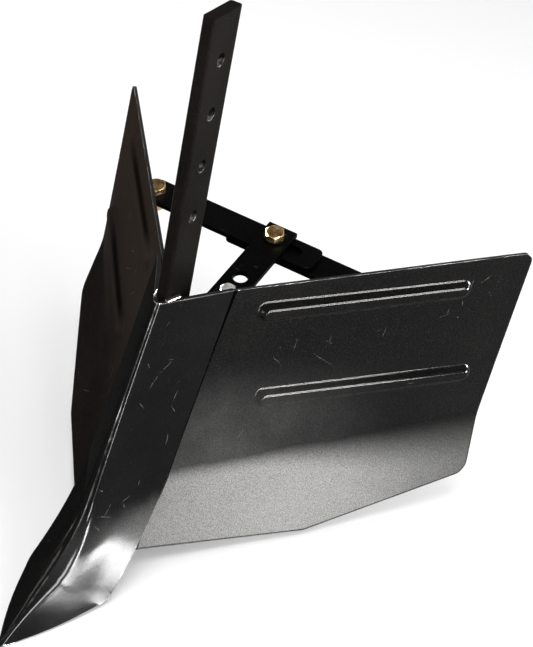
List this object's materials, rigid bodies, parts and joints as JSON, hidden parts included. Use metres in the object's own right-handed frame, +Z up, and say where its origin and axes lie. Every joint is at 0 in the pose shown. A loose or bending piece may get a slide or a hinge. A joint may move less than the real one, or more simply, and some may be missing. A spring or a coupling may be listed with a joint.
{
  "type": "walk behind ridger",
  "caption": "Furrow ridger for a walk behind tiller: a pointed V share on a drilled flat shank, with pressed wings that swing out on hinge bolts and are set by slotted stays.",
  "frame": {"origin": "on the level of the tip, midway between the tip and the rear of the wings, in the middle plane", "axes": "+Z up along the shank, -Y the way it travels, +X across"},
  "size_m": [0.4486, 0.4794, 0.5104],
  "materials": {
    "paint": "satin black paint, scratched",
    "zinc": "yellow zinc plate"
  },
  "bodies": {
    "frame": {"shank": "paint", "share": "paint", "nose_gusset": "paint", "shank_weld_left": "paint", "shank_weld_right": "paint", "hinge_tab_left": "paint", "hinge_tab_right": "paint", "tab_weld_left": "paint", "tab_weld_right": "paint", "hinge_bolt_left": "zinc", "hinge_bolt_right": "zinc", "hinge_washer_left": "paint", "hinge_washer_right": "paint", "hinge_nut_left": "zinc", "hinge_nut_right": "zinc", "centre_bar": "paint", "bar_weld": "paint", "centre_bolt": "zinc", "centre_washer_top": "paint", "centre_washer_low": "paint", "centre_nut": "zinc"},
    "wing_left": {"wing_left": "paint", "wing_ear_left": "paint", "wing_lug_left": "paint", "lug_weld_left": "paint", "lug_bolt_left": "zinc", "lug_washer_left": "paint", "lug_nut_left": "zinc"},
    "wing_right": {"wing_right": "paint", "wing_ear_right": "paint", "wing_lug_right": "paint", "lug_weld_right": "paint", "lug_bolt_right": "zinc", "lug_washer_right": "paint", "lug_nut_right": "zinc"},
    "stay_left": {"stay_left": "paint"},
    "stay_right": {"stay_right": "paint"}
  },
  "joints": [
    {"name": "wing_right_hinge", "type": "hinge", "parent": "frame", "child": "wing_right", "pos_m": [0.0245, 0.01932, 0.23821], "axis": [0, 0.2538, -0.9673], "range_deg": [0, 8]},
    {"name": "wing_left_hinge", "type": "hinge", "parent": "frame", "child": "wing_left", "pos_m": [-0.0245, 0.01932, 0.23821], "axis": [0, -0.2538, 0.9673], "range_deg": [0, 8]},
    {"name": "stay_right_pivot", "type": "hinge", "parent": "wing_right", "child": "stay_right", "pos_m": [0.13101, 0.15389, 0.22182], "axis": [0, 0.2538, -0.9673], "range_deg": [-1.8, 0]},
    {"name": "stay_left_pivot", "type": "hinge", "parent": "wing_left", "child": "stay_left", "pos_m": [-0.13101, 0.15389, 0.22182], "axis": [0, -0.2538, 0.9673], "range_deg": [-1.8, 0]}
  ],
  "couplings": [
    {"joint": "stay_right_pivot", "follows": "wing_right_hinge", "ratio": -0.2185},
    {"joint": "stay_left_pivot", "follows": "wing_left_hinge", "ratio": -0.2185}
  ]
}
